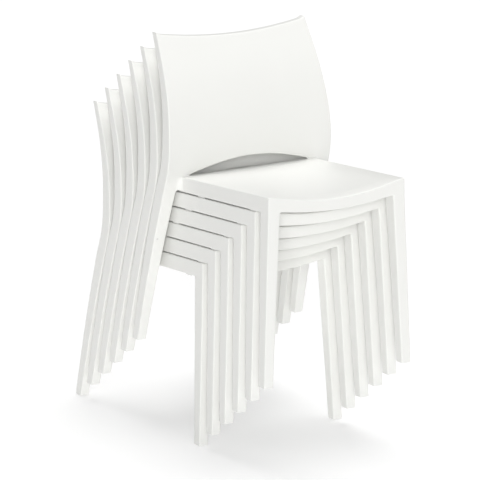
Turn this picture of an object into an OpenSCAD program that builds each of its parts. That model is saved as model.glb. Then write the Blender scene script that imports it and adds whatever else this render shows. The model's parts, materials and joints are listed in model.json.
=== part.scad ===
// Stacking chairs in white moulded plastic, nested in one stack.
// Each chair is a one-piece shell with hollow legs, four press-in feet,
// two plugs that close the gas-injection holes, and pads under the seat
// that the chair rests on when it is stacked.
// A chair's own frame: X across the seat, Y to the rear from the seat's
// front edge, Z up from the floor.

/* [Stack] */
// How many chairs are nested in the stack
chairs = 6; // [1:1:6]
// Room between a rear leg and the rear leg of the next chair
nest_gap = 4; // [2:0.1:12]
// Height of the pads that keep one seat rim off the next
pad_gap = 2; // [1.5:0.5:8]

/* [Seat] */
// Width of the seat over its side aprons
seat_w = 396; // [330:1:480]
// Depth of the seat from its front edge to its rear edge
seat_d = 405; // [337:1:486]
// Height of the seat's front edge
seat_h = 468; // [390:1:562]
// Fall of the seat from its front edge to its rear edge
seat_drop = 25; // [8:1:30]
// Depth of the dish at the seat's front edge
dish_depth = 21.5; // [12:0.5:26]
// Width of the flat rim at each side of the dish
rim_w = 15; // [12:1:24]
// Wall thickness of the moulding
wall = 5; // [4:0.5:6.5]

/* [Aprons] */
// Height of the aprons at the front of the seat
apron_front_h = 39; // [32:1:47]
// Height of the side aprons at the rear of the seat
apron_rear_h = 38; // [27:1:46]
// How far the front apron's lower edge bows down in the middle
apron_bow = 14; // [6:1:20]
// Height of the lip under the seat's rear edge
rear_lip_h = 20; // [12:1:24]
// Radius where the front apron runs into the legs
apron_fillet = 8; // [3:1:14]

/* [Front legs] */
// Width of a front leg under the seat
front_leg_w = 34; // [28:1:40]
// Depth of a front leg under the seat
front_leg_d = 38; // [32:1:45]
// Width of a front foot
front_foot_w = 26; // [24:1:31]
// Depth of a front foot
front_foot_d = 27; // [24:1:32]
// How far a front foot stands outside the seat's side
front_splay = 17.5; // [8:0.5:20]
// How far a front foot stands ahead of the seat's front edge
front_rake = 10; // [0:1:14]

/* [Rear legs] */
// Gap between a side apron and the rear leg beside it
leg_gap = 9; // [7:1:14]
// Width of a rear leg beside the seat
rear_leg_w = 36; // [31:1:44]
// Depth of a rear leg just below the seat
rear_leg_d = 39; // [33:1:46]
// Width of a rear foot
rear_foot_w = 25; // [24:1:30]
// Depth of a rear foot
rear_foot_d = 27; // [24:1:32]
// How far a rear foot stands outside the leg's place at the seat
rear_splay = 8; // [4:1:12]
// Backward slope of the rear legs just below the seat
lean_top = 0.355; // [0.3:0.005:0.42]
// Backward slope of the rear legs at the floor
lean_foot = 0.235; // [0.2:0.005:0.3]

/* [Back] */
// Height of the back's top corners above the seat's front edge
back_h = 326; // [272:1:392]
// Narrowing of each side of the back from the seat to the top
back_taper = 23.5; // [10:0.5:30]
// Depth of the hollow in the back's top edge
top_dip = 22; // [10:1:30]
// Radius of the back's side curve
back_r = 400; // [370:5:580]
// Depth of the back's sides at the top
top_d = 19.5; // [16:0.5:24]
// Width of the back's sides at the top
top_side_w = 16; // [13:1:22]
// Height of the slot between the back and the seat
slot_h = 34; // [28:1:42]
// Width of the slot between its two tips
slot_w = 352; // [300:2:370]

/* [Feet and plugs] */
// Diameter of a foot's disc
foot_disc_d = 18; // [15:1:19]
// Thickness of a foot's disc
foot_disc_h = 3.5; // [3:0.5:5]
// How far a foot's disc stands out below the leg
foot_proud = 1.5; // [1:0.5:2]
// Diameter of a foot's stem
foot_stem_d = 8; // [6:0.5:9.5]
// Length of a foot's stem
foot_stem_l = 15; // [10:1:18]
// Diameter of the gas channel inside a leg
channel_d = 10; // [6:1:12]
// Height of the plugs above the floor
plug_z = 280; // [240:5:330]
// Distance of a plug's centre from the leg's outer edge
plug_inset = 9; // [8:0.5:14]
// Diameter of a plug's head
plug_head_d = 7; // [6:0.5:9]
// Diameter of a plug's shank and of its hole
plug_shank_d = 4; // [3:0.5:5]

/* [Pads] */
// Length of a stacking pad
pad_l = 26; // [20:1:32]
// Width of a stacking pad
pad_w = 7; // [5:0.5:8]
// Place of the front pads behind the seat's front edge
pad_front_y = 70; // [55:5:110]
// Place of the rear pads behind the seat's front edge
pad_rear_y = 305; // [250:5:320]

/* [Hidden] */
node = "all";
PIECES = ["shell", "foot_front_left", "foot_front_right", "foot_rear_left",
          "foot_rear_right", "plug_left", "plug_right", "stacking_pads"];
NODES = [for (i = [1:chairs]) for (p = PIECES) str("chair_", i, "_", p)];

$fn = 48;
smooth_fn = 360;      // for the large radii of the seat, the slot and the top edge
fit = 0.05;           // radial room of a foot's stem and a plug's shank
disc_room = 0.2;      // radial room of a foot's disc and a plug's head
rest_clear = 0.3;     // room between a stacking pad and the seat below it
over = 1;             // how far a cutting shape runs past a face

// heights and slopes
slope = seat_drop / seat_d;
top_z = seat_h + back_h;
waist_z = seat_h + 43;
knee_z = seat_h - 32;
straight_z = waist_z + 215;
seat_rear_z = seat_h - seat_drop;

// the rear legs and the back in side view
waist_y = seat_d - 26.5;
waist_r = (waist_z - knee_z) / lean_top;
knee_y = waist_y + pow(waist_z - knee_z, 2) / (2 * waist_r);
back_lean = (straight_z - waist_z) / back_r;
waist_side_d = 35;    // depth of the sides at the waist

// half widths
seat_x = seat_w / 2;
front_foot_x = seat_x + front_splay;
rear_in_x = seat_x + leg_gap;
waist_x = rear_in_x + rear_leg_w;
rear_foot_x = waist_x + rear_splay;
top_x = waist_x - back_taper;

// the stack's pitch: seat rims rest on the pads, rear legs clear each other
pitch_y = (rear_leg_d + nest_gap + lean_top * (apron_front_h + pad_gap)) / (1 - lean_top * slope);
pitch_z = apron_front_h + pad_gap + slope * pitch_y;

// the chair's footprint, and the stack's centre
toe_y = -front_rake;
rear_toe_y = leg_front_y(0);
heel_y = rear_toe_y + rear_foot_d;
stack_mid_y = (toe_y - (chairs - 1) * pitch_y + heel_y) / 2;

// radii of the dish, the slot and the top edge from chord and rise
function chord_r(half, rise) = (half * half + rise * rise) / (2 * rise);
dish_r = chord_r(seat_x - rim_w, dish_depth);
slot_r = chord_r(slot_w / 2, slot_h);
top_r = chord_r(top_x, top_dip);
bow_r = chord_r(seat_x - front_leg_w, apron_bow);
slot_top_z = seat_rear_z + 1 + slot_h;

// front face of the back and of the rear legs at height z
function leg_front_y(z) =
    let (d = knee_z - z)
    knee_y + d * (lean_top - (lean_top - lean_foot) * d / (2 * knee_z));
function front_y(z) =
    z >= straight_z ? waist_y + (straight_z - waist_z) * back_lean / 2 + (z - straight_z) * back_lean :
    z >= waist_z ? waist_y + pow(z - waist_z, 2) / (2 * back_r) :
    z >= knee_z ? waist_y + pow(waist_z - z, 2) / (2 * waist_r) :
    leg_front_y(z);
// depth of the back's sides and of the rear legs at height z
function side_d(z) = lookup(z, [[0, rear_foot_d], [knee_z - 30, rear_leg_d],
                                [waist_z + 55, waist_side_d - 1.5], [top_z, top_d]]);
function seat_z(y) = seat_h - slope * y;
function apron_z(y) = seat_z(y) - apron_front_h + (apron_front_h - apron_rear_h) * y / seat_d;

profile_z = [foot_proud, knee_z / 3, knee_z * 2 / 3, knee_z - 30, knee_z, (knee_z + waist_z) / 2,
             for (k = [0 : 4]) waist_z + (straight_z - waist_z) * k / 4, top_z];
function reversed(v) = [for (i = [len(v) - 1 : -1 : 0]) v[i]];
function mirrored(v) = concat(v, [for (p = reversed(v)) [-p[0], p[1]]]);

// a side-view outline [y, z] pulled out across the chair
module across(width) {
    rotate([90, 0, 90]) linear_extrude(width, center = true) children();
}
// a front-view outline [x, z] pulled out from y0 to y1
module along(y0, y1) {
    translate([0, y1, 0]) rotate([90, 0, 0]) linear_extrude(y1 - y0) children();
}
module both_sides() {
    children();
    mirror([1, 0, 0]) children();
}
// a round bar between two points
module bar(p, q, d) {
    v = q - p;
    translate(p)
        rotate([0, acos(v[2] / norm(v)), atan2(v[1], v[0])])
            cylinder(d = d, h = norm(v));
}

// -------- back and rear legs --------
module side_profile(front, rear) {
    polygon(concat([for (z = profile_z) [front_y(z) + front, z]],
                   [for (z = reversed(profile_z)) [front_y(z) + min(rear, side_d(z)), z]]));
}
module top_curve(grow) {
    translate([0, top_z - top_dip + top_r]) circle(top_r + grow, $fn = smooth_fn);
}
module back_outline() {
    low_z = seat_rear_z - wall + 1;
    difference() {
        polygon(mirrored([[0, low_z], [rear_in_x, low_z], [rear_in_x, knee_z - 30],
                          [rear_foot_x - rear_foot_w, foot_proud], [rear_foot_x, foot_proud],
                          [waist_x, knee_z], [waist_x - 1, waist_z - 20], [waist_x - 4, waist_z + 40],
                          [top_x, top_z], [0, top_z]]));
        top_curve(0);
        intersection() {
            translate([0, slot_top_z - slot_r]) circle(slot_r, $fn = smooth_fn);
            translate([-slot_w / 2 - over, low_z - over]) square([slot_w + 2 * over, slot_h + wall + over]);
        }
    }
}
// the hollow behind the back's skin, between its sides and under its top lip
module hollow_outline() {
    low_z = seat_rear_z - 2 * wall;
    difference() {
        polygon(mirrored([[0, low_z], [rear_in_x - over, low_z],
                          [waist_x - 4 - rear_leg_w * 0.75, waist_z + 40],
                          [top_x - top_side_w, top_z - over], [0, top_z - over]]));
        top_curve(wall);
    }
}
module back_and_rear_legs() {
    difference() {
        intersection() {
            across(3 * rear_foot_x) side_profile(0, rear_leg_d);
            along(0, heel_y + top_z) back_outline();
        }
        intersection() {
            across(3 * rear_foot_x) hollow_profile();
            along(0, heel_y + top_z) hollow_outline();
        }
    }
}
module hollow_profile() {
    back_z = [for (z = profile_z) if (z > knee_z - over) z, top_z + over];
    polygon(concat([for (z = back_z) [front_y(z) + wall, z]],
                   [for (z = reversed(back_z)) [front_y(z) + 2 * rear_leg_d, z]]));
}

// -------- seat, aprons and front legs --------
module dish(r) {
    translate([0, -over, seat_h - dish_depth + dish_r])
        rotate([-90, 0, 0]) cylinder(r = r, h = seat_d + 2 * over, $fn = smooth_fn);
}
module seat_side(thick) {
    polygon([[0, seat_h], [seat_d, seat_rear_z], [seat_d, seat_rear_z - thick], [0, seat_h - thick]]);
}
module seat_pan() {
    difference() {
        across(seat_w) seat_side(wall);
        dish(dish_r);
    }
    intersection() {
        difference() {
            dish(dish_r + wall);
            dish(dish_r);
        }
        across(seat_w - wall) seat_side(dish_depth + 2 * wall);
    }
}
module apron_side() {
    translate([seat_x - wall / 2, 0, 0])
        across(wall)
            polygon([[front_leg_d / 2, seat_z(front_leg_d / 2) - wall / 2], [seat_d, seat_rear_z - wall / 2],
                     [seat_d, apron_z(seat_d)], [front_leg_d / 2, apron_z(front_leg_d / 2)]]);
}
module apron_front_outline() {
    leg_x = seat_x - front_leg_w;
    low_z = seat_h - apron_front_h;
    polygon(mirrored([[0, low_z], [leg_x + wall, low_z],
                      [leg_x + wall, seat_h - wall / 2], [0, seat_h - wall / 2]]));
    intersection() {
        translate([0, low_z - apron_bow + bow_r]) circle(bow_r, $fn = smooth_fn);
        translate([-leg_x, low_z - apron_bow - over]) square([2 * leg_x, apron_bow + 2 * over]);
    }
    both_sides()
        translate([leg_x, low_z])
            difference() {
                translate([-apron_fillet, -apron_fillet]) square([apron_fillet + wall, apron_fillet + wall]);
                translate([-apron_fillet, -apron_fillet]) circle(apron_fillet);
            }
}
module apron_front() {
    difference() {
        along(0, wall) apron_front_outline();
        dish(dish_r);
    }
}
module apron_rear() {
    translate([-seat_x, seat_d - wall, seat_rear_z - rear_lip_h])
        cube([seat_w, wall, rear_lip_h - wall / 2]);
}
module front_leg_side() {
    polygon([[0, seat_h - wall / 2], [front_leg_d, seat_z(front_leg_d) - wall / 2],
             [toe_y + front_foot_d, foot_proud], [toe_y, foot_proud], [0, seat_h - apron_front_h]]);
}
module front_legs() {
    difference() {
        intersection() {
            along(toe_y - over, front_leg_d + over)
                both_sides()
                    polygon([[seat_x, seat_h], [front_foot_x, foot_proud],
                             [front_foot_x - front_foot_w, foot_proud], [seat_x - front_leg_w, seat_h]]);
            across(3 * front_foot_x) front_leg_side();
        }
        dish(dish_r);
    }
}
// ties the rear end of each side apron to the front of the rear leg beside it
module rear_ties() {
    low_z = apron_z(seat_d);
    tie_w = leg_gap + wall + over;
    both_sides()
        translate([seat_x - wall + tie_w / 2, 0, 0])
            across(tie_w)
                polygon([[front_y(seat_rear_z) + 1, seat_rear_z], [front_y(low_z) + 1, low_z],
                         [front_y(low_z) + 2 * wall, low_z], [seat_d, seat_rear_z - wall],
                         [seat_d, seat_rear_z]]);
}
module pad_blocks() {
    block_w = pad_w + wall;
    for (y = [pad_front_y, pad_rear_y])
        both_sides()
            translate([seat_x - block_w / 2 - over, 0, 0])
                across(block_w)
                    polygon([[y - pad_l / 2 - 3, seat_z(y) - wall - slope * (y - 3)],
                             [y - pad_l / 2 - 3, apron_z(y - pad_l / 2 - 3)],
                             [y + pad_l / 2 + 3, apron_z(y + pad_l / 2 + 3)],
                             [y + pad_l / 2 + 3, seat_z(y) - wall - slope * (y - 3)]]);
}

// -------- places of the small parts --------
front_foot_place = [front_foot_x - front_foot_w / 2, toe_y + front_foot_d / 2, 0];
rear_foot_place = [rear_foot_x - rear_foot_w / 2, rear_toe_y + rear_foot_d / 2, 0];
front_channel_top = [seat_x - front_leg_w / 2, front_leg_d / 2, seat_h - apron_front_h];
rear_channel_top = [rear_in_x + rear_leg_w / 2, leg_front_y(knee_z - 50) + rear_leg_d / 2, knee_z - 50];
bore_top = [0, 0, foot_disc_h + foot_stem_l + 3];

plug_x = waist_x + rear_splay * (knee_z - plug_z) / knee_z - plug_inset;
plug_lean = atan(lean_top - (lean_top - lean_foot) * (knee_z - plug_z) / knee_z);
plug_head_h = 1.5;
plug_depth = side_d(plug_z) / 2;
module at_plug() {
    translate([plug_x, leg_front_y(plug_z), plug_z])
        rotate([90 + plug_lean, 0, 0])
            translate([0, 0, -0.2]) children();
}

module foot_socket(place) {
    translate(place) {
        translate([0, 0, -over]) cylinder(d = foot_disc_d + 2 * disc_room, h = foot_disc_h + over);
        cylinder(d = foot_stem_d + 2 * fit, h = bore_top[2]);
    }
}
module leg_hollows() {
    both_sides() {
        foot_socket(front_foot_place);
        foot_socket(rear_foot_place);
        bar(front_foot_place + bore_top - [0, 0, 2], front_channel_top, channel_d);
        bar(rear_foot_place + bore_top - [0, 0, 2], rear_channel_top, channel_d);
        at_plug() {
            translate([0, 0, -plug_head_h]) cylinder(d = plug_head_d + 2 * disc_room, h = 2 * plug_head_h);
            translate([0, 0, -plug_depth]) cylinder(d = plug_shank_d + 2 * fit, h = plug_depth);
        }
    }
}

// -------- sub-parts --------
module shell() {
    color("white")
        difference() {
            union() {
                back_and_rear_legs();
                seat_pan();
                apron_front();
                both_sides() apron_side();
                apron_rear();
                front_legs();
                rear_ties();
                pad_blocks();
            }
            leg_hollows();
            both_sides() pad_peg_holes();
        }
}
module foot(place, side) {
    color("gainsboro")
        translate([side * place[0], place[1], 0]) {
            cylinder(d = foot_disc_d, h = foot_disc_h);
            cylinder(d = foot_stem_d, h = foot_disc_h + foot_stem_l);
        }
}
module plug() {
    color("whitesmoke")
        at_plug() {
            translate([0, 0, -plug_head_h]) cylinder(d = plug_head_d, h = plug_head_h);
            translate([0, 0, -plug_depth + 4]) cylinder(d = plug_shank_d, h = plug_depth - 4);
        }
}
pad_x = seat_x - wall - over;
peg_d = 4;
peg_l = 8;
module pad_peg_holes() {
    for (y = [pad_front_y, pad_rear_y])
        translate([pad_x, y, apron_z(y) - over]) cylinder(d = peg_d + 2 * fit, h = peg_l + over + 1);
}
module stacking_pad(y) {
    bottom = apron_front_h + pad_gap - rest_clear;
    translate([pad_x, 0, 0])
        across(pad_w)
            polygon([[y - pad_l / 2, seat_z(y - pad_l / 2) - bottom], [y + pad_l / 2, seat_z(y + pad_l / 2) - bottom],
                     [y + pad_l / 2, apron_z(y + pad_l / 2)], [y - pad_l / 2, apron_z(y - pad_l / 2)]]);
    translate([pad_x, y, apron_z(y) - 1]) cylinder(d = peg_d, h = peg_l + 1);
}
module stacking_pads() {
    color("lightgray")
        both_sides()
            for (y = [pad_front_y, pad_rear_y]) stacking_pad(y);
}

// moves a chair to its place in the stack, counted from the floor
module in_stack(i) {
    translate([0, -(i - 1) * pitch_y - stack_mid_y, (i - 1) * pitch_z]) children();
}
function is_on(i, piece) = node == "all" || node == str("chair_", i, "_", piece);

for (i = [1:chairs]) in_stack(i) {
    if (is_on(i, "shell")) shell();
    if (is_on(i, "foot_front_left")) foot(front_foot_place, 1);
    if (is_on(i, "foot_front_right")) foot(front_foot_place, -1);
    if (is_on(i, "foot_rear_left")) foot(rear_foot_place, 1);
    if (is_on(i, "foot_rear_right")) foot(rear_foot_place, -1);
    if (is_on(i, "plug_left")) plug();
    if (is_on(i, "plug_right")) mirror([1, 0, 0]) plug();
    if (is_on(i, "stacking_pads")) stacking_pads();
}
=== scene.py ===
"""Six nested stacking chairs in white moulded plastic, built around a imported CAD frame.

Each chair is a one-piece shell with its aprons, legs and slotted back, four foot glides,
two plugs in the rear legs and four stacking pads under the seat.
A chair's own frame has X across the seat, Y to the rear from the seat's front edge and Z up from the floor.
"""

import json
import math

import bmesh
import bpy
from bpy.props import FloatProperty, FloatVectorProperty, PointerProperty
from mathutils import Matrix, Vector

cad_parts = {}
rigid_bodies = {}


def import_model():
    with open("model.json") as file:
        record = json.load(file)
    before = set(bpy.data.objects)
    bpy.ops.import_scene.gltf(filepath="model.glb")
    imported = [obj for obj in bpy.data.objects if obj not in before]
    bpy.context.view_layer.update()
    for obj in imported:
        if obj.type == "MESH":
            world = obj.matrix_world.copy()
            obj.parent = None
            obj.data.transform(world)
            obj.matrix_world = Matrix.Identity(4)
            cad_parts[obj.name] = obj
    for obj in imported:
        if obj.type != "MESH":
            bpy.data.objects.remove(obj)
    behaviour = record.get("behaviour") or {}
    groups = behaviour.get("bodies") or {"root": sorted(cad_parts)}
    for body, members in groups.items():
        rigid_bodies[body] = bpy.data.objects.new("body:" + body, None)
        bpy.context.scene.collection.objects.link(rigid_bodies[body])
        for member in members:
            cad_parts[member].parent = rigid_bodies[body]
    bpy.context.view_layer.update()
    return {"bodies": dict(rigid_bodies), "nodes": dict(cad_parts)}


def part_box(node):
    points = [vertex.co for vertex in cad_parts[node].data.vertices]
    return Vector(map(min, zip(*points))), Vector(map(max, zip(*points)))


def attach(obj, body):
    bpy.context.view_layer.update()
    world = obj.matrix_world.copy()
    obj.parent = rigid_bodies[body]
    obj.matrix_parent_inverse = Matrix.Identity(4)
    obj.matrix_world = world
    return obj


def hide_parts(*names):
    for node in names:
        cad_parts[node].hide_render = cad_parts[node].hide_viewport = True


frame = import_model()

bl_info = {
    "name": "Stacking Chairs",
    "version": (1, 0, 0),
    "blender": (4, 5, 0),
    "location": "View3D > Sidebar > Chairs",
    "description": "Moulds a stack of plastic chairs around its CAD frame",
    "category": "Add Mesh",
}

CHAIRS = sorted(frame["bodies"])
MM = 0.001

# Outlines of a glide's stem and of a plug: (radius, height) in millimetres, to the axis
STEM_OUTLINE = [(4.6, 3.5), (4, 4.3), (4, 9), (3.6, 9.5), (3.6, 10.5), (4, 11), (4, 16.5), (2.8, 18.5),
                (0, 18.5)]
PLUG_OUTLINE = [(0, 0.55), (1.6, 0.5), (2.7, 0.25), (3, 0.05), (3.15, 0.05), (3.3, 0.4), (3.5, 0.2),
                (3.5, -1.5), (2, -1.6), (2, -12), (1.2, -13), (0, -13)]

# The bottom chair's own frame in the row frame: its shell's box starts at the front feet.
SHELL_LOW, SHELL_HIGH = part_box("chair_1_shell")


def metres(label, about, value, low=0.0):
    """A length that a user may change."""
    return FloatProperty(name=label, description=about, default=value, min=low, unit="LENGTH",
                         subtype="DISTANCE", precision=4)


def colour(label, about, value):
    """A linear colour that a user may change."""
    return FloatVectorProperty(name=label, description=about, default=value, size=3, min=0, max=1,
                               subtype="COLOR")


def share(label, about, value, low=0.0, high=1.0):
    """A plain factor that a user may change."""
    return FloatProperty(name=label, description=about, default=value, min=low, max=high,
                         subtype="FACTOR" if high <= 1 else "NONE")


class ChairSizes(bpy.types.PropertyGroup):
    """Sizes of one chair's shell."""

    wall: metres("Wall", "Thickness of the moulding", 0.005)
    seat_half: metres("Seat half width", "From the middle to a side apron's outer face", 0.198)
    seat_depth: metres("Seat depth", "From the front edge to the rear edge", 0.405)
    seat_height: metres("Seat height", "Height of the seat's front edge", 0.468)
    seat_drop: metres("Seat drop", "Fall of the seat from front to rear", 0.025)
    dish: metres("Dish", "Depth of the dish at the front edge", 0.0215)
    rim: metres("Rim", "Width of the flat rim beside the dish", 0.015)
    waterfall: metres("Waterfall", "How far the front edge rounds down in the middle", 0.004)
    apron_front: metres("Front apron", "Height of the aprons at the front", 0.039)
    apron_bow: metres("Apron bow", "How far the front apron bows down in the middle", 0.014)
    apron_rear: metres("Rear apron", "Height of the side aprons at the rear", 0.038)
    front_leg_width: metres("Front leg width", "Width of a front leg under the seat", 0.034)
    front_leg_depth: metres("Front leg depth", "Depth of a front leg under the seat", 0.038)
    front_foot_width: metres("Front foot width", "Width of a front foot", 0.026)
    front_foot_depth: metres("Front foot depth", "Depth of a front foot", 0.027)
    front_splay: metres("Front splay", "How far a front foot stands outside the seat", 0.0175)
    front_rake: metres("Front rake", "How far a front foot stands ahead of the seat", 0.010)
    leg_gap: metres("Leg gap", "Gap between a side apron and the rear leg", 0.009)
    rear_leg_width: metres("Rear leg width", "Width of a rear leg beside the seat", 0.036)
    rear_leg_depth: metres("Rear leg depth", "Depth of a rear leg below the seat", 0.039)
    rear_foot_width: metres("Rear foot width", "Width of a rear foot", 0.025)
    rear_foot_depth: metres("Rear foot depth", "Depth of a rear foot", 0.027)
    rear_splay: metres("Rear splay", "How far a rear foot stands outside its leg's top", 0.008)
    lean_top: share("Leg lean at the seat", "Backward slope of the rear legs below the seat", 0.355)
    lean_foot: share("Leg lean at the floor", "Backward slope of the rear legs at the floor", 0.235)
    back_radius: metres("Back radius", "Radius of the back's curve in side view", 0.400)
    back_taper: metres("Back taper", "Narrowing of each side of the back up to the top", 0.0235)
    top_dip: metres("Top dip", "Depth of the hollow in the back's top edge", 0.022)
    top_depth: metres("Top depth", "Depth of the back's sides at the top", 0.0195)
    top_side: metres("Top side width", "Width of the back's sides at the top", 0.016)
    slot_height: metres("Slot height", "Height of the slot over the seat", 0.034)
    slot_half: metres("Slot half width", "From the middle to a tip of the slot", 0.176)
    plug_height: metres("Plug height", "Height of the plugs above the floor", 0.280)


class ChairFinish(bpy.types.PropertyGroup):
    """Colours and surface of the plastics."""

    shell_colour: colour("Shell", "Colour of the moulding", (0.86, 0.862, 0.835))
    shell_roughness: share("Shell roughness", "Mean roughness of the moulding", 0.46)
    grain_size: metres("Grain", "Size of the moulded grain", 0.0011)
    grain_height: metres("Grain height", "Height of the moulded grain", 0.00006)
    foot_colour: colour("Feet", "Colour of the foot glides", (0.70, 0.70, 0.68))
    plug_colour: colour("Plugs", "Colour of the plugs", (0.72, 0.72, 0.70))
    pad_colour: colour("Pads", "Colour of the stacking pads", (0.74, 0.74, 0.72))


class ChairStage(bpy.types.PropertyGroup):
    """Floor, lights and camera."""

    floor_colour: colour("Floor", "Colour of the floor", (0.55, 0.55, 0.55))
    floor_glow: share("Floor glow", "Light that the floor gives off, so that shadows on it stay pale", 0.50)
    sky: share("Sky", "Brightness of the surroundings", 0.07, high=10.0)
    key: share("Key light", "Strength of the soft key light", 2.55, high=20.0)
    fill: share("Fill light", "Strength of the light from beside the camera", 1.63, high=20.0)
    key_turn: FloatProperty(name="Key turn", description="Turn of the key light from the front to +X",
                            unit="ROTATION", subtype="ANGLE", default=math.radians(95))
    key_height: FloatProperty(name="Key height", description="Height of the key light over the horizon",
                              unit="ROTATION", subtype="ANGLE", default=math.radians(82))
    camera_place: FloatVectorProperty(name="Camera", description="Place of the camera", unit="LENGTH",
                                      subtype="XYZ", default=(-4.062, -6.296, 2.370))
    heading: FloatProperty(name="Heading", description="Turn of the view from +Y towards +X", unit="ROTATION",
                           subtype="ANGLE", default=math.radians(32.76))
    pitch: FloatProperty(name="Pitch", description="Fall of the view below level", unit="ROTATION",
                         subtype="ANGLE", default=math.radians(14.2))
    lens: FloatProperty(name="Lens", description="Focal length in millimetres", default=230.0, min=10)


# --------------------------------------------------------------------------------------------------
# Mesh tools


def block(bm, low, high):
    """A box between two corners."""
    verts = bmesh.ops.create_cube(bm, size=1.0)["verts"]
    low, high = Vector(low), Vector(high)
    bmesh.ops.scale(bm, vec=high - low, verts=verts)
    bmesh.ops.translate(bm, vec=(low + high) / 2, verts=verts)
    bm.normal_update()


def slice_at(bm, axis, values, inside):
    """Cuts an edge loop at each value of the axis, through the geometry that lies inside."""
    normal = Vector([float(axis == k) for k in range(3)])
    for value in values:
        verts = [v for v in bm.verts if inside(v.co)]
        edges = [e for e in bm.edges if inside(e.verts[0].co)]
        faces = [f for f in bm.faces if inside(f.verts[0].co)]
        bmesh.ops.bisect_plane(bm, geom=verts + edges + faces, dist=1e-7, plane_co=normal * value,
                               plane_no=normal)
    bm.normal_update()


def facing(bm, axis, sign, test):
    """The faces that look along an axis and whose middle passes the test."""
    return [f for f in bm.faces if f.normal[axis] * sign > 0.9 and test(f.calc_center_median())]


def pull(bm, faces, axis, *steps):
    """Extrudes a region of faces along an axis, one step after the other, and returns its end faces."""
    for step in steps:
        made = bmesh.ops.extrude_face_region(bm, geom=faces)["geom"]
        move = Vector([step * (axis == k) for k in range(3)])
        bmesh.ops.delete(bm, geom=[f for f in faces if f.is_valid], context="FACES")
        bmesh.ops.translate(bm, vec=move, verts=[g for g in made if isinstance(g, bmesh.types.BMVert)])
        faces = [g for g in made if isinstance(g, bmesh.types.BMFace)]
        bm.normal_update()
    return faces


def steps_through(start, levels):
    """The steps from a start through each level."""
    return [b - a for a, b in zip([start, *levels], levels)]


def bridge(bm, first, second):
    """Opens two regions of faces and joins their rims by a short tube."""
    bmesh.ops.delete(bm, geom=first + second, context="FACES")
    bmesh.ops.bridge_loops(bm, edges=[e for e in bm.edges if e.is_boundary])


def blend_between(t):
    """A smooth step from 0 to 1."""
    t = min(1.0, max(0.0, t))
    return t * t * (3 - 2 * t)


def table(x, points):
    """Straight lines through [x, y] points."""
    if x <= points[0][0]:
        return points[0][1]
    for (x0, y0), (x1, y1) in zip(points, points[1:]):
        if x <= x1:
            return y0 + (y1 - y0) * (x - x0) / (x1 - x0)
    return points[-1][1]


def arc_rise(x, radius):
    """How far a circle has risen above its lowest point at the distance x from it."""
    return radius - math.sqrt(radius * radius - min(x * x, radius * radius))


def chord_radius(half, rise):
    """The radius of an arc from half its chord and its rise."""
    return (half * half + rise * rise) / (2 * rise)


def turned(outline, segments):
    """Turns an outline of (radius, height) points in millimetres, from axis to axis, round +Z."""
    bm = bmesh.new()
    verts = [bm.verts.new((r * MM, 0, z * MM)) for r, z in outline]
    edges = [bm.edges.new(pair) for pair in zip(verts, verts[1:])]
    bmesh.ops.spin(bm, geom=verts + edges, cent=(0, 0, 0), axis=(0, 0, 1), angle=math.tau, steps=segments,
                   use_merge=True)
    bmesh.ops.remove_doubles(bm, verts=bm.verts[:], dist=1e-6)
    bmesh.ops.recalc_face_normals(bm, faces=bm.faces[:])
    return bm


def finished(bm, name):
    """Makes the bmesh an object at the origin."""
    mesh = bpy.data.meshes.new(name)
    bm.to_mesh(mesh)
    bm.free()
    for polygon in mesh.polygons:
        polygon.use_smooth = True
    piece = bpy.data.objects.new(name, mesh)
    bpy.context.scene.collection.objects.link(piece)
    return piece


# --------------------------------------------------------------------------------------------------
# The shell


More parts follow.
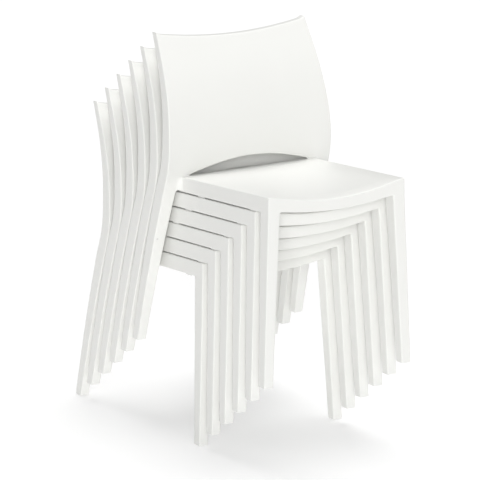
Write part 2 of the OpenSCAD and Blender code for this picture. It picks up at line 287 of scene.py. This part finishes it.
class Shell:
    """Moulds one chair's shell: straight blocks are cut and extruded, then bent to the chair's curves."""

    AWAY = 10.0  # the back is moulded this far behind the seat, so that each is cut alone
    NEAR = 1 * MM  # how close a face lies to the plane that it is looked for on

    # Where the back turns in side view: below, above and before the seat's front or rear edge
    KNEE_DROP = 32 * MM
    WAIST_RISE = 43 * MM
    WAIST_INSET = 26.5 * MM
    CURVE_HEIGHT = 215 * MM  # from the waist to where the back runs on straight
    WAIST_DEPTH = 33.5 * MM  # depth of the sides a little over the waist

    # How far up the slot's arch and the top edge's dip are felt
    SLOT_REACH = 130 * MM
    DIP_START = 640 * MM
    DIP_REACH = 120 * MM

    SOFT = 2 * MM  # how softly the dish runs into the seat's rim
    FRONT_ROUND = 30 * MM  # depth of the rounded front edge
    FILLET = 8 * MM  # loops beside a corner, which Subdivision turns into a fillet
    EDGE = 5 * MM  # loops beside an end
    LIP = 20 * MM  # height of the lip under the seat's rear edge
    SOLE = 3.6 * MM  # width of the rim round a foot glide
    SOCKET = 4 * MM  # depth of a foot glide's socket

    # Loops that carry the curves. Columns count from the middle, seat rows from its front edge,
    # front leg rows from the seat's top, depths from the back's front face, and the rest from the floor.
    SEAT_COLUMNS = (40 * MM, 80 * MM, 120 * MM)
    SEAT_ROWS = (0.11, 0.18, 0.25, 0.32, 0.37)
    FRONT_LEG_ROWS = (-0.12, -0.22, -0.33, -0.43)
    BACK_COLUMNS = (45 * MM, 90 * MM, 135 * MM)
    BACK_ROWS = (0.465, 0.485, 0.515, 0.555, 0.61, 0.67, 0.72, 0.76)
    SIDE_DEPTHS = (11 * MM, 17 * MM)
    SEAM_ROWS = (0.432, 0.426)
    REAR_LEG_ROWS = (0.395, 0.33, 0.23, 0.13, 0.05)

    def __init__(self, size):
        self.size = size
        self.foot_z = SHELL_LOW.z
        self.top_z = SHELL_HIGH.z
        self.waist_z = size.seat_height + self.WAIST_RISE
        self.knee_z = size.seat_height - self.KNEE_DROP
        self.straight_z = self.waist_z + self.CURVE_HEIGHT
        self.waist_y = size.seat_depth - self.WAIST_INSET
        self.skin_z = size.seat_height - size.seat_drop + 4.5 * MM
        self.rear_in = size.seat_half + size.leg_gap
        self.waist_x = self.rear_in + size.rear_leg_width
        self.last_level = 4 * MM - size.apron_front

    # The seat's own shape
    def seat_top(self, x, y):
        """The height of the seat's upper face."""
        size = self.size
        plane = size.seat_height - size.seat_drop / size.seat_depth * y
        flat = size.seat_half - size.rim
        bowl = size.seat_height - size.dish + arc_rise(x, chord_radius(flat, size.dish))
        low = -self.SOFT * math.log(sum(math.exp((self.foot_z - z) / self.SOFT) for z in (plane, bowl)))
        fall = size.waterfall * max(0.0, 1 - y / self.FRONT_ROUND) ** 2 * max(0.0, 1 - (x / flat) ** 2)
        return low + self.foot_z - fall

    def bend_seat(self, v):
        """Takes a point of the straight seat block, with its top at level 0, to its place."""
        size = self.size
        x, y, level = v.co
        top = self.seat_top(x, y)
        apron = size.apron_front + (size.apron_rear - size.apron_front) * y / size.seat_depth
        plate = -size.wall
        foot_level = -(size.seat_height - self.foot_z)
        bottom = size.seat_height - size.seat_drop / size.seat_depth * y - apron
        leg_x = size.seat_half - size.front_leg_width
        if y < size.wall + 1e-6 and x < leg_x:
            bottom -= size.apron_bow * (1 - (x / leg_x) ** 2)
        if level >= plate - 1e-6:
            v.co.z = top + level
        elif level >= -size.apron_front - 1e-6:
            t = (plate - level) / (size.apron_front + plate)
            v.co.z = top + plate + (bottom - top - plate) * t
        else:
            v.co.z = size.seat_height + level
        t = (-size.apron_front - level) / (-size.apron_front - foot_level)
        if t > 0:
            width = size.front_leg_width + (size.front_foot_width - size.front_leg_width) * t
            depth = size.front_leg_depth + (size.front_foot_depth - size.front_leg_depth) * t
            inward = (size.seat_half - x) * width / size.front_leg_width
            v.co.x = size.seat_half + size.front_splay * t - inward
            v.co.y = -size.front_rake * t + y * depth / size.front_leg_depth

    # The back's own shape
    def front_y(self, z):
        """The back's and the rear legs' front face in side view."""
        size = self.size
        if z >= self.waist_z:
            rise = min(z, self.straight_z) - self.waist_z
            lean = rise / size.back_radius
            return self.waist_y + rise * lean / 2 + max(0.0, z - self.straight_z) * lean
        bend = (self.waist_z - self.knee_z) / size.lean_top
        if z >= self.knee_z:
            return self.waist_y + (self.waist_z - z) ** 2 / (2 * bend)
        knee_y = self.waist_y + (self.waist_z - self.knee_z) ** 2 / (2 * bend)
        drop = self.knee_z - z
        return knee_y + drop * (size.lean_top - (size.lean_top - size.lean_foot) * drop / (2 * self.knee_z))

    def side_depth(self, z):
        """The depth of a rear leg, or of a side of the back."""
        size = self.size
        return table(z, [(0, size.rear_foot_depth), (self.knee_z - 30 * MM, size.rear_leg_depth),
                         (self.waist_z + 55 * MM, self.WAIST_DEPTH), (self.top_z, size.top_depth)])

    def outer_x(self, z):
        """The outer edge of a rear leg, or of a side of the back."""
        size = self.size
        return table(z, [(self.foot_z, self.waist_x + size.rear_splay), (self.knee_z, self.waist_x),
                         (self.waist_z + 40 * MM, self.waist_x - 4 * MM),
                         (self.top_z, self.waist_x - size.back_taper)])

    def inner_x(self, z):
        """The inner edge of a rear leg, or of a side of the back."""
        size = self.size
        return table(z, [(self.foot_z, self.waist_x + size.rear_splay - size.rear_foot_width),
                         (self.knee_z - 30 * MM, self.rear_in), (self.skin_z, self.rear_in),
                         (self.waist_z + 40 * MM, self.waist_x - 31 * MM),
                         (self.top_z, self.waist_x - size.back_taper - size.top_side)])

    def bend_back(self, v):
        """Takes a point of the straight back block to its place."""
        size = self.size
        x, depth, z = v.co.x, v.co.y - self.AWAY, v.co.z
        top_x = self.waist_x - size.back_taper
        reach = x * top_x / self.waist_x
        dip = size.top_dip - arc_rise(reach, chord_radius(top_x, size.top_dip))
        slot_top = size.seat_height - size.seat_drop + 1 * MM + size.slot_height
        arch = slot_top - arc_rise(x, chord_radius(size.slot_half, size.slot_height)) - self.skin_z
        lift = max(0.0, arch) if x < size.slot_half + 1e-6 else 0.0
        z -= max(0.0, dip) * blend_between((v.co.z - self.DIP_START) / self.DIP_REACH)
        z += lift * (1 - blend_between((v.co.z - self.skin_z - 4 * MM) / self.SLOT_REACH))
        inner, outer = self.inner_x(z), self.outer_x(z)
        if x <= self.rear_in:
            v.co.x = x * inner / self.rear_in
        else:
            v.co.x = inner + (x - self.rear_in) / (self.waist_x - self.rear_in) * (outer - inner)
        full, edge = size.rear_leg_depth, self.EDGE
        side = self.side_depth(z)
        if depth > full - edge + 1e-6:
            depth = side
        elif depth > size.wall:
            depth = size.wall + (depth - size.wall) / (full - edge - size.wall) * (side - 4 * MM - size.wall)
        v.co.y = self.front_y(z) + depth
        v.co.z = z

    # Moulding
    def cap_foot(self, bm, end):
        """Sinks the socket of a foot glide into a leg's end."""
        bmesh.ops.inset_region(bm, faces=end, thickness=self.SOLE, use_even_offset=True)
        pull(bm, end, 2, self.SOCKET)

    def seat_block(self, bm):
        """The straight half of the seat with its aprons and its front leg, its top at level 0."""
        size = self.size
        half, depth, wall = size.seat_half, size.seat_depth, size.wall
        leg_x, leg_y = half - size.front_leg_width, size.front_leg_depth
        seam = self.front_y(self.skin_z)
        here = lambda co: co.y < self.AWAY / 2
        block(bm, (0, 0, -wall), (half, depth, 0))
        slice_at(bm, 0, [*self.SEAT_COLUMNS, leg_x - self.FILLET, leg_x, size.slot_half,
                         half - size.rim, half - wall], here)
        slice_at(bm, 1, [wall, leg_y - self.FILLET, leg_y, leg_y + self.FILLET, *self.SEAT_ROWS,
                         seam - self.EDGE, seam, seam + wall, depth - wall], here)
        in_leg = lambda c: c.x > leg_x and c.y < leg_y
        ring = facing(bm, 2, -1, lambda c: c.x > half - wall or c.y < wall or c.y > depth - wall or in_leg(c))
        ring = pull(bm, ring, 2, *steps_through(-wall, [4 * MM - self.LIP, -self.LIP]))
        middles = [(f, f.calc_center_median()) for f in ring]
        sides = [f for f, middle in middles if middle.x > half - wall or middle.y < depth / 2]
        sides = pull(bm, sides, 2, *steps_through(-self.LIP, [self.last_level, -size.apron_front]))
        leg = [f for f in sides if in_leg(f.calc_center_median())]
        end = -(size.seat_height - self.foot_z)
        rows = [-self.FILLET - size.apron_front, *self.FRONT_LEG_ROWS, end + self.EDGE, end]
        leg = pull(bm, leg, 2, *steps_through(-size.apron_front, rows))
        self.cap_foot(bm, leg)

    def back_block(self, bm):
        """The straight half of the back with its rear leg."""
        size = self.size
        wall, full = size.wall, size.rear_leg_depth
        here = lambda co: co.y > self.AWAY / 2
        block(bm, (0, self.AWAY, self.skin_z), (self.waist_x, self.AWAY + wall, self.top_z))
        slice_at(bm, 0, [*self.BACK_COLUMNS, size.slot_half, size.seat_half - size.rim,
                         size.seat_half - wall, size.seat_half, self.rear_in, self.rear_in + 6 * MM,
                         self.waist_x - 6 * MM], here)
        slice_at(bm, 2, [self.skin_z + 4 * MM, *self.BACK_ROWS, self.top_z - 9 * MM, self.top_z - wall], here)
        frame_faces = facing(bm, 1, 1, lambda c: here(c) and (c.x > self.rear_in or c.z > self.top_z - wall))
        pull(bm, frame_faces, 1, *steps_through(wall, [*self.SIDE_DEPTHS, full - self.EDGE, full]))
        column = facing(bm, 2, -1, lambda c: here(c) and c.x > self.rear_in and c.z < self.skin_z + 1 * MM)
        rows = [*self.SEAM_ROWS, self.apron_row(self.last_level), *self.REAR_LEG_ROWS,
                self.foot_z + self.EDGE, self.foot_z]
        end = pull(bm, column, 2, *steps_through(self.skin_z, rows))
        self.cap_foot(bm, end)

    def apron_row(self, level):
        """The height of an apron's level at the seat's rear end."""
        size = self.size
        rear = size.seat_height - size.seat_drop
        t = (-size.wall - level) / (size.apron_front - size.wall)
        return rear - size.wall - (size.apron_rear - size.wall) * t

    def mould(self, bm):
        """Moulds one half, joins its back to its seat, and mirrors it."""
        size = self.size
        self.seat_block(bm)
        self.back_block(bm)
        away, wall, half = self.AWAY, size.wall, size.seat_half
        seam = self.front_y(self.skin_z)
        lowest = self.apron_row(self.last_level)

        def on_seat(c):
            return size.slot_half < c.x and seam < c.y < seam + wall

        def on_back(c):
            return size.slot_half < c.x < self.rear_in + self.NEAR and away < c.y < away + wall

        seat_seam = facing(bm, 2, 1, lambda c: on_seat(c) and c.z > -self.NEAR)
        seat_seam += facing(bm, 0, 1, lambda c: on_seat(c) and c.x > half - self.NEAR
                            and c.z > self.last_level)
        back_seam = facing(bm, 2, -1, lambda c: on_back(c) and c.x < self.rear_in
                           and c.z > self.skin_z - self.NEAR)
        back_seam += facing(bm, 0, -1, lambda c: on_back(c) and lowest < c.z < self.skin_z)
        for v in bm.verts:
            if v.co.y > away / 2:
                self.bend_back(v)
            else:
                self.bend_seat(v)
        bridge(bm, seat_seam, back_seam)
        middle_faces = [f for f in bm.faces if all(abs(v.co.x) < 1e-6 for v in f.verts)]
        bmesh.ops.delete(bm, geom=middle_faces, context="FACES")
        bmesh.ops.mirror(bm, geom=bm.verts[:] + bm.edges[:] + bm.faces[:], axis="X", merge_dist=1e-5)
        bmesh.ops.remove_doubles(bm, verts=bm.verts[:], dist=1e-6)
        bmesh.ops.recalc_face_normals(bm, faces=bm.faces[:])
        if not all(edge.is_manifold for edge in bm.edges):
            raise RuntimeError("the shell isn't closed")


def chair_offset(chair):
    """Where a chair's own frame lies in the row frame."""
    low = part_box(f"{chair}_shell")[0]
    size = bpy.context.scene.chair_sizes
    return Vector((0, low.y + size.front_rake, low.z - SHELL_LOW.z))


def place_copy(pattern, name, chair, finish, node):
    """Copies a pattern mesh to a chair's place and lets it stand for the CAD node."""
    piece = bpy.data.objects.new(name, pattern.copy())
    piece.data.name = name
    piece.data.transform(Matrix.Translation(chair_offset(chair)))
    piece.data.materials.clear()
    piece.data.materials.append(finish)
    bpy.context.scene.collection.objects.link(piece)
    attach(piece, chair)
    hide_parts(node)
    return piece


# --------------------------------------------------------------------------------------------------
# Materials


class Link:
    """A node's output that takes part in Python expressions."""

    def __init__(self, tree, socket):
        self.tree, self.socket = tree, socket

    def _math(self, operation, a, b):
        node = self.tree.nodes.new("ShaderNodeMath")
        node.operation = operation
        for slot, value in zip(node.inputs, (a, b)):
            if isinstance(value, Link):
                self.tree.links.new(value.socket, slot)
            else:
                slot.default_value = value
        return Link(self.tree, node.outputs[0])

    def __add__(self, other):
        return self._math("ADD", self, other)

    def __radd__(self, other):
        return self._math("ADD", other, self)

    def __sub__(self, other):
        return self._math("SUBTRACT", self, other)

    def __rsub__(self, other):
        return self._math("SUBTRACT", other, self)

    def __mul__(self, other):
        return self._math("MULTIPLY", self, other)

    def __rmul__(self, other):
        return self._math("MULTIPLY", other, self)


class Plastic:
    """A Principled material whose nodes are added by name."""

    def __init__(self, name):
        self.material = bpy.data.materials.new(name)
        self.material.use_nodes = True
        self.tree = self.material.node_tree
        self.tree.nodes.clear()
        self.shader = self.tree.nodes.new("ShaderNodeBsdfPrincipled")
        out = self.tree.nodes.new("ShaderNodeOutputMaterial")
        self.tree.links.new(self.shader.outputs[0], out.inputs[0])
        self.place = self.node("ShaderNodeTexCoord", output="Object")

    def node(self, kind, settings=None, values=None, output=0):
        """Adds a node, makes its settings, then sets or links its sockets, and returns one output."""
        node = self.tree.nodes.new(kind)
        for key, value in (settings or {}).items():
            setattr(node, key, value)
        for key, value in (values or {}).items():
            self.feed(node.inputs[key], value)
        return Link(self.tree, node.outputs[output])

    def feed(self, socket, value):
        if isinstance(value, Link):
            self.tree.links.new(value.socket, socket)
        elif isinstance(value, (tuple, list)) and len(value) == 3 and socket.type == "RGBA":
            socket.default_value = (*value, 1.0)
        else:
            socket.default_value = value

    def noise(self, scale, detail=2.0, roughness=0.5):
        """Noise on Object coordinates, so that it doesn't swim when a chair is lifted."""
        return self.node("ShaderNodeTexNoise", values={"Vector": self.place, "Scale": scale, "Detail": detail,
                                                       "Roughness": roughness}, output="Fac")

    def mix(self, factor, first, second):
        return self.node("ShaderNodeMix", {"data_type": "RGBA"}, {0: factor, 6: first, 7: second}, output=2)

    def bump(self, height, distance, strength=1.0):
        return self.node("ShaderNodeBump", values={"Height": height, "Distance": distance,
                                                   "Strength": strength})

    def finish(self, inputs):
        for name, value in inputs.items():
            self.feed(self.shader.inputs[name], value)
        return self.material


def shaded(value, factor):
    """A colour made darker or lighter by a plain factor."""
    return tuple(min(1.0, c * factor) for c in value)


def moulded_white():
    """Satin polypropylene: fine spark-eroded grain, soft flow marks and a little handling wear."""
    finish = bpy.context.scene.chair_finish
    base = tuple(finish.shell_colour)
    p = Plastic("moulded_white")
    grain = p.noise(1 / finish.grain_size, detail=3.0, roughness=0.6)
    flow = p.noise(7.0, detail=2.0)
    scuff = p.noise(46.0, detail=5.0, roughness=0.62)
    worn = p.node("ShaderNodeMapRange", values={"Value": scuff, "From Min": 0.62, "From Max": 0.78})
    tint = p.mix(flow, shaded(base, 0.985), shaded(base, 1.012))
    tint = p.mix(worn * 0.35, tint, (base[0] * 0.965, base[1] * 0.96, base[2] * 0.945))
    rough = finish.shell_roughness + (grain - 0.5) * 0.10 + (flow - 0.5) * 0.06 + worn * 0.05
    height = grain + flow * 1.5
    return p.finish({"Base Color": tint, "Roughness": rough, "Specular IOR Level": 0.42,
                     "Normal": p.bump(height, finish.grain_height)})


def plain_plastic(name, value, roughness, grain_scale, height):
    """A small moulded or rubber part: fine grain, and a faint mottling."""
    p = Plastic(name)
    grain = p.noise(grain_scale, detail=3.0, roughness=0.6)
    mottle = p.noise(60.0, detail=2.0)
    tint = p.mix(mottle, shaded(value, 0.95), shaded(value, 1.03))
    return p.finish({"Base Color": tint, "Roughness": roughness + (grain - 0.5) * 0.16,
                     "Normal": p.bump(grain, height)})


def floor_paint(stage):
    """Matt white paint that is lit a little from within, so that shadows on it stay pale."""
    p = Plastic("floor_paint")
    soft = p.noise(3.0)
    paint = tuple(stage.floor_colour)
    return p.finish({"Base Color": p.mix(soft, shaded(paint, 0.99), shaded(paint, 1.01)), "Roughness": 0.95,
                     "Specular IOR Level": 0.0, "Emission Color": (1.0, 1.0, 1.0, 1.0),
                     "Emission Strength": stage.floor_glow})


# --------------------------------------------------------------------------------------------------
# Operators


def far_light(name, strength, height, turn, spread):
    """A large, soft and distant studio light."""
    light = bpy.data.lights.new(name, "SUN")
    light.energy = strength
    light.angle = spread
    lamp = bpy.data.objects.new(name, light)
    lamp.rotation_euler = (math.radians(90) - height, 0, turn)
    bpy.context.scene.collection.objects.link(lamp)


class ChairOperator(bpy.types.Operator):
    """What the chair operators share"""

    bl_options = {"REGISTER", "UNDO"}

    @classmethod
    def poll(cls, context):
        return context.scene is not None


class CHAIRS_OT_shells(ChairOperator):
    """Moulds the shell of each chair in the stack"""

    bl_idname = "chairs.shells"
    bl_label = "Shells"

    def execute(self, context):
        bm = bmesh.new()
        Shell(context.scene.chair_sizes).mould(bm)
        pattern = finished(bm, "shell_pattern")
        white = moulded_white()
        for chair in CHAIRS:
            name, node = f"{chair}_moulded_shell", f"{chair}_shell"
            piece = place_copy(pattern.data, name, chair, white, node)
            rounded = piece.modifiers.new("rounded", "SUBSURF")
            rounded.levels = rounded.render_levels = 2
        bpy.data.objects.remove(pattern)
        return {"FINISHED"}


class CHAIRS_OT_feet(ChairOperator):
    """Turns the glide under each foot"""

    bl_idname = "chairs.feet"
    bl_label = "Foot glides"

    def execute(self, context):
        foot_colour = tuple(context.scene.chair_finish.foot_colour)
        finish = plain_plastic("glide_white", foot_colour, 0.5, 900.0, 4e-5)
        for corner in ("front_left", "front_right", "rear_left", "rear_right"):
            low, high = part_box(f"chair_1_foot_{corner}")
            middle, disc = (low + high) / 2, (high.x - low.x) / 2 / MM
            sole = [(0, 0), (disc * 0.72, 0), (disc * 0.93, 0.4), (disc, 1.4), (disc, 3.5)]
            bm = turned(sole + STEM_OUTLINE, 40)
            place = Vector((middle.x, middle.y, low.z)) - chair_offset("chair_1")
            bmesh.ops.translate(bm, vec=place, verts=bm.verts[:])
            pattern = finished(bm, "glide_pattern")
            for chair in CHAIRS:
                node = f"{chair}_foot_{corner}"
                place_copy(pattern.data, f"{chair}_glide_{corner}", chair, finish, node)
            bpy.data.objects.remove(pattern)
        return {"FINISHED"}


class CHAIRS_OT_plugs(ChairOperator):
    """Turns the plug that closes the hole in each rear leg"""

    bl_idname = "chairs.plugs"
    bl_label = "Plugs"

    def execute(self, context):
        plug_colour = tuple(context.scene.chair_finish.plug_colour)
        finish = plain_plastic("plug_white", plug_colour, 0.34, 1400.0, 2e-5)
        size = context.scene.chair_sizes
        shell = Shell(size)
        for side in ("left", "right"):
            low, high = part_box(f"chair_1_plug_{side}")
            middle = (low + high) / 2 - chair_offset("chair_1")
            height, near = size.plug_height, 5 * MM
            lean = math.atan((shell.front_y(height - near) - shell.front_y(height + near)) / (2 * near))
            bm = turned(PLUG_OUTLINE, 36)
            turn = Matrix.Rotation(math.radians(90) + lean, 4, "X")
            place = Matrix.Translation((middle.x, shell.front_y(height) - 0.1 * MM, height))
            bmesh.ops.transform(bm, matrix=place @ turn, verts=bm.verts[:])
            pattern = finished(bm, "plug_pattern")
            for chair in CHAIRS:
                node = f"{chair}_plug_{side}"
                place_copy(pattern.data, f"{chair}_gas_plug_{side}", chair, finish, node)
            bpy.data.objects.remove(pattern)
        return {"FINISHED"}


class CHAIRS_OT_pads(ChairOperator):
    """Gives the stacking pads their rubber"""

    bl_idname = "chairs.pads"
    bl_label = "Stacking pads"

    def execute(self, context):
        pad_colour = tuple(context.scene.chair_finish.pad_colour)
        finish = plain_plastic("pad_rubber", pad_colour, 0.62, 1100.0, 5e-5)
        for chair in CHAIRS:
            pad = frame["nodes"][f"{chair}_stacking_pads"]
            pad.data.materials.clear()
            pad.data.materials.append(finish)
        return {"FINISHED"}


class CHAIRS_OT_stage(ChairOperator):
    """Lays the floor, and sets the lights and the camera"""

    bl_idname = "chairs.stage"
    bl_label = "Stage"

    def execute(self, context):
        scene, stage = context.scene, context.scene.chair_stage
        bm = bmesh.new()
        bmesh.ops.create_grid(bm, x_segments=2, y_segments=2, size=60.0)
        floor = finished(bm, "floor")
        floor.data.materials.append(floor_paint(stage))
        world = bpy.data.worlds.new("studio")
        world.use_nodes = True
        world.node_tree.nodes["Background"].inputs["Color"].default_value = (1, 1, 1, 1)
        world.node_tree.nodes["Background"].inputs["Strength"].default_value = stage.sky
        scene.world = world
        far_light("key", stage.key, stage.key_height, stage.key_turn, math.radians(50))
        far_light("fill", stage.fill, stage.pitch, -stage.heading, math.radians(25))
        scene.view_settings.view_transform = "Standard"
        camera = bpy.data.cameras.new("camera")
        camera.lens = stage.lens
        camera.sensor_width = 36.0
        camera.clip_end = 200.0
        eye = bpy.data.objects.new("camera", camera)
        eye.location = stage.camera_place
        eye.rotation_euler = (math.radians(90) - stage.pitch, 0, -stage.heading)
        scene.collection.objects.link(eye)
        scene.camera = eye
        return {"FINISHED"}


class CHAIRS_PT_panel(bpy.types.Panel):
    """Lists the chairs' operators"""

    bl_label = "Stacking Chairs"
    bl_space_type = "VIEW_3D"
    bl_region_type = "UI"
    bl_category = "Chairs"

    def draw(self, context):
        for operator in OPERATORS:
            self.layout.operator(operator.bl_idname)


OPERATORS = (CHAIRS_OT_shells, CHAIRS_OT_feet, CHAIRS_OT_plugs, CHAIRS_OT_pads, CHAIRS_OT_stage)
CLASSES = (ChairSizes, ChairFinish, ChairStage, *OPERATORS, CHAIRS_PT_panel)


def register():
    for cls in CLASSES:
        bpy.utils.register_class(cls)
    bpy.types.Scene.chair_sizes = PointerProperty(type=ChairSizes)
    bpy.types.Scene.chair_finish = PointerProperty(type=ChairFinish)
    bpy.types.Scene.chair_stage = PointerProperty(type=ChairStage)


def unregister():
    del bpy.types.Scene.chair_stage, bpy.types.Scene.chair_finish, bpy.types.Scene.chair_sizes
    for cls in reversed(CLASSES):
        bpy.utils.unregister_class(cls)


def main():
    register()
    bpy.ops.chairs.stage()
    bpy.ops.chairs.shells()
    bpy.ops.chairs.feet()
    bpy.ops.chairs.plugs()
    bpy.ops.chairs.pads()


if __name__ == "__main__":
    main()
